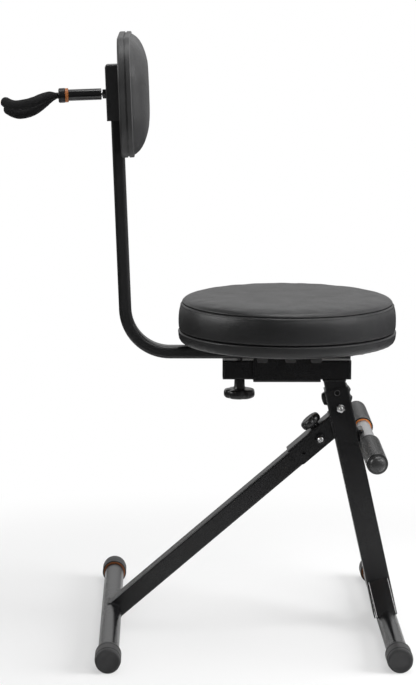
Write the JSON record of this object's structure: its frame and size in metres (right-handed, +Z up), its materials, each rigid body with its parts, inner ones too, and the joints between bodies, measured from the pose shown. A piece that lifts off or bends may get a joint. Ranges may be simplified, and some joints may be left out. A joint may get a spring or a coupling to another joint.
{
  "type": "guitar stool",
  "caption": "Folding guitar stool: round padded seat on a leaning front leg with footrest, a hinged rear leg, a sliding backrest and a yoke behind it to hang a guitar.",
  "frame": {"origin": "on the floor, under the middle of the whole object's bounding box", "axes": "+Z up, +X to the front where the sitter's feet rest, +Y to the sitter's left"},
  "size_m": [0.585, 0.526, 0.8769],
  "materials": {
    "black_paint": "satin",
    "gloss_black": "gloss",
    "black_rubber": "matte",
    "orange_band": "satin",
    "zinc": "polished",
    "black_plastic": "satin",
    "black_vinyl": "satin",
    "cover_vinyl": "satin",
    "plywood": "matte",
    "black_foam": "matte"
  },
  "bodies": {
    "front_leg": {"front_leg_tube": "black_paint", "front_leg_stub": "black_paint", "foot_sleeve": "black_paint", "foot_flaps": "black_paint", "front_foot_bar": "black_paint", "front_foot_caps": "black_rubber", "front_cap_rings": "orange_band", "stop_screw": "zinc", "stop_nut": "zinc", "leg_knob_boss": "black_paint", "hinge_bracket": "black_paint", "hinge_knob_boss": "black_paint", "hinge_bolt": "zinc", "hinge_nut": "black_paint", "hinge_washers": "black_paint", "footrest_cradle": "black_paint", "footrest_bar": "zinc", "footrest_grips": "black_rubber", "footrest_rings": "orange_band"},
    "rear_leg": {"rear_leg_tube": "black_paint", "hinge_bush": "black_plastic", "rear_foot_bar": "black_paint", "rear_foot_caps": "black_rubber", "rear_cap_rings": "orange_band"},
    "seat": {"seat_neck": "black_paint", "seat_beam": "black_paint", "beam_plugs": "black_plastic", "seat_saddle": "black_paint", "plate_tabs": "zinc", "guide_liners": "black_plastic", "clamp_nut": "zinc", "seat_plate": "zinc", "seat_board": "plywood", "seat_screws": "zinc", "seat_border": "black_vinyl", "seat_cushion": "cover_vinyl"},
    "backrest": {"backrest_post": "black_paint", "post_plug": "black_plastic", "post_bracket": "black_paint", "back_screws": "zinc", "back_shell": "black_plastic", "back_cushion": "cover_vinyl", "hanger_stud": "zinc", "hanger_lock_nut": "black_paint", "hanger_arm": "gloss_black", "hanger_ring": "orange_band"},
    "hanger_yoke": {"hanger_collar": "black_plastic", "yoke_core": "black_paint", "yoke_sleeve": "black_foam"},
    "leg_knob": {"leg_knob": "black_plastic", "leg_knob_screw": "zinc"},
    "hinge_knob": {"hinge_knob": "black_plastic", "hinge_knob_screw": "zinc"},
    "backrest_knob": {"backrest_knob": "black_plastic", "backrest_knob_screw": "zinc"}
  },
  "joints": [
    {"name": "rear_leg_fold", "type": "hinge", "parent": "front_leg", "child": "rear_leg", "pos_m": [0.17322, 0, 0.28494], "axis": [0, -1, 0], "range_deg": [0, 61]},
    {"name": "seat_height", "type": "slide", "parent": "front_leg", "child": "seat", "axis": [-0.2215, 0, 0.9751], "range_m": [0, 0.1]},
    {"name": "backrest_reach", "type": "slide", "parent": "seat", "child": "backrest", "axis": [1, 0, 0], "range_m": [-0.04, 0.035]},
    {"name": "hanger_swivel", "type": "hinge", "parent": "backrest", "child": "hanger_yoke", "pos_m": [-0.21016, 0, 0.78779], "axis": [0.9992, 0, 0.0398], "range_deg": [-25, 54]},
    {"name": "leg_knob_turn", "type": "hinge", "parent": "front_leg", "child": "leg_knob", "pos_m": [0.20097, 0.03, 0.33882], "axis": [0, 1, 0], "continuous": true},
    {"name": "hinge_knob_turn", "type": "hinge", "parent": "front_leg", "child": "hinge_knob", "pos_m": [0.16392, 0, 0.30334], "axis": [-0.654, 0, 0.7565], "continuous": true},
    {"name": "backrest_knob_turn", "type": "hinge", "parent": "seat", "child": "backrest_knob", "pos_m": [0.05416, 0, 0.3626], "axis": [0, 0, -1], "continuous": true}
  ]
}
